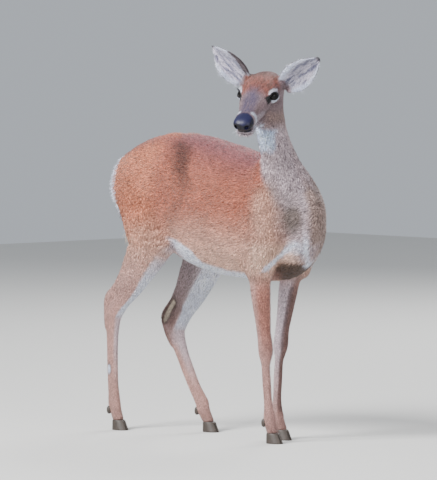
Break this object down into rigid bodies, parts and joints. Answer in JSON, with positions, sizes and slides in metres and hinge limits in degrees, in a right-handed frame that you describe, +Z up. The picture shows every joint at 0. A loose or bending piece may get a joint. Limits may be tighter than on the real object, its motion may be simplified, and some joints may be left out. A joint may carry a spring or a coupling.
{
  "type": "white-tailed deer model",
  "caption": "Life-size white-tailed deer doe standing on all fours, head turned to her right, ears up, tail hanging: a still museum-type model of the live animal.",
  "frame": {"origin": "on the ground, under the middle of the model's bounding box", "axes": "+Z up, +X towards the front of the body, +Y towards her left side; the head is turned 63 degrees towards -Y"},
  "size_m": [0.9238, 0.4094, 1.2163],
  "materials": {
    "coat_red": "short rufous summer hair lying along the body",
    "coat_grey": "short grey-brown hair of the neck, head and ear backs",
    "coat_leg": "very short tan hair of the legs",
    "coat_white": "white hair of the chin, belly, inner thighs, ears and tail fringe",
    "horn": "dark keratin of the hooves and dewclaws, half polished by wear",
    "wet_eye": "wet, very dark brown eye",
    "nose_pad": "bare black pebbled nose skin, wet"
  },
  "bodies": {
    "root": {"right_eye": "wet_eye", "left_eye": "wet_eye", "right_ear": "coat_grey", "left_ear": "coat_grey", "tail": "coat_white", "nose": "nose_pad", "lower_jaw": "coat_white", "head": "coat_grey", "neck": "coat_grey", "trunk": "coat_red", "right_fore_inner_hoof": "horn", "right_fore_inner_dewclaw": "horn", "right_fore_outer_hoof": "horn", "right_fore_outer_dewclaw": "horn", "right_hind_inner_hoof": "horn", "right_hind_inner_dewclaw": "horn", "right_hind_outer_hoof": "horn", "right_hind_outer_dewclaw": "horn", "right_foreleg": "coat_leg", "right_fore_cannon": "coat_leg", "right_fore_pastern": "coat_leg", "right_hind_cannon": "coat_leg", "right_hind_pastern": "coat_leg", "right_thigh": "coat_red", "right_hock": "coat_red", "right_gaskin": "coat_red", "left_fore_inner_hoof": "horn", "left_fore_inner_dewclaw": "horn", "left_fore_outer_hoof": "horn", "left_fore_outer_dewclaw": "horn", "left_hind_inner_hoof": "horn", "left_hind_inner_dewclaw": "horn", "left_hind_outer_hoof": "horn", "left_hind_outer_dewclaw": "horn", "left_foreleg": "coat_leg", "left_fore_cannon": "coat_leg", "left_fore_pastern": "coat_leg", "left_hind_cannon": "coat_leg", "left_hind_pastern": "coat_leg", "left_thigh": "coat_red", "left_hock": "coat_red", "left_gaskin": "coat_red"}
  },
  "joints": []
}
